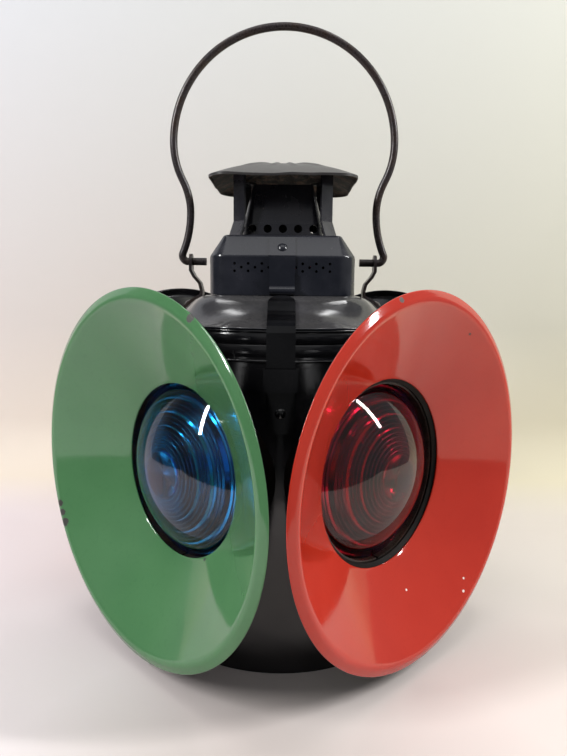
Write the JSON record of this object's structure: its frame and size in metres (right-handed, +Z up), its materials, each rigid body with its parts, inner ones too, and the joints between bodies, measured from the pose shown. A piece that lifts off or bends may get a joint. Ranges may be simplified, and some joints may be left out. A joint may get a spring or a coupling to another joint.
{
  "type": "railroad switch lantern",
  "caption": "Oil-burning railroad switch lamp: round steel body with lenses in dished enamel day targets, hinged square chimney lid, wire bail and lift-out fount.",
  "frame": {"origin": "on the ground, at the middle of the lamp's base", "axes": "+Z up, -Y towards the front latch; the lenses look out at 45 degrees to X and Y"},
  "size_m": [0.3692, 0.3692, 0.4603],
  "materials": {
    "black_paint": "aged gloss black paint",
    "roof_paint": "weathered black paint, rusty below",
    "dark_steel": "worn dark steel",
    "cast_iron": "rough black",
    "enamel_green": "gloss vitreous enamel",
    "enamel_red": "gloss vitreous enamel",
    "lens_blue": "pressed blue-green glass",
    "lens_ruby": "pressed ruby glass",
    "tinplate": "dull tinned steel",
    "brass": "tarnished brass",
    "wick_cotton": "woven cotton",
    "cork": "pressed cork"
  },
  "bodies": {
    "lamp_body": {"body_shell": "black_paint", "base_plate": "black_paint", "mounting_socket": "cast_iron", "socket_rivets": "dark_steel", "fount_shelf": "tinplate", "shoulder": "black_paint", "shoulder_skirt": "black_paint", "hood_front_left": "black_paint", "hood_front_right": "black_paint", "hood_rear_right": "black_paint", "hood_rear_left": "black_paint", "target_front_left": "enamel_green", "target_front_right": "enamel_red", "target_rear_right": "enamel_green", "target_rear_left": "enamel_red", "lens_front_left": "lens_blue", "lens_front_right": "lens_ruby", "lens_rear_right": "lens_blue", "lens_rear_left": "lens_ruby", "lens_ring_front_left": "dark_steel", "lens_ring_front_right": "dark_steel", "lens_ring_rear_right": "dark_steel", "lens_ring_rear_left": "dark_steel", "latch_bracket": "black_paint", "ear_left": "dark_steel", "ear_right": "dark_steel", "ear_rivets": "dark_steel", "hinge_base": "black_paint", "hinge_pin": "dark_steel"},
    "lid": {"lid_drum": "black_paint", "hasp_band": "black_paint", "hasp_rivet": "black_paint", "hinge_leaf": "black_paint", "chimney": "black_paint", "inner_flue": "tinplate", "roof_straps": "black_paint", "roof_cap": "roof_paint"},
    "bail": {"bail": "dark_steel"},
    "latch": {"latch_spring": "black_paint", "latch_rivet": "black_paint"},
    "fount": {"fount": "tinplate", "burner": "brass", "wick_tube": "brass"},
    "wick": {"wick": "wick_cotton"},
    "wick_raiser": {"wick_raiser": "brass"},
    "filler_cap": {"filler_cap": "brass", "cap_gasket": "cork"}
  },
  "joints": [
    {"name": "bail_swing", "type": "hinge", "parent": "lamp_body", "child": "bail", "pos_m": [0, 0, 0.2845], "axis": [1, 0, 0], "range_deg": [-90, 90]},
    {"name": "lid_hinge", "type": "hinge", "parent": "lamp_body", "child": "lid", "pos_m": [0, 0.0575, 0.263], "axis": [-1, 0, 0], "range_deg": [0, 100]},
    {"name": "latch_flex", "type": "hinge", "parent": "lamp_body", "child": "latch", "pos_m": [0, -0.0972, 0.183], "axis": [1, 0, 0], "range_deg": [0, 4], "stiffness_Nm_per_rad": 4},
    {"name": "fount_lift", "type": "slide", "parent": "lamp_body", "child": "fount", "axis": [0, 0, 1], "range_m": [0, 0.14]},
    {"name": "wick_turn", "type": "hinge", "parent": "fount", "child": "wick_raiser", "pos_m": [0, 0, 0.1162], "axis": [1, 0, 0], "range_deg": [-90, 180]},
    {"name": "wick_slide", "type": "slide", "parent": "fount", "child": "wick", "axis": [0, 0, 1], "range_m": [-0.0041, 0.0082]},
    {"name": "cap_lift", "type": "slide", "parent": "fount", "child": "filler_cap", "axis": [0, 0, 1], "range_m": [0, 0.02]}
  ],
  "couplings": [
    {"joint": "wick_slide", "follows": "wick_turn", "m_per_rad": 0.0026}
  ]
}
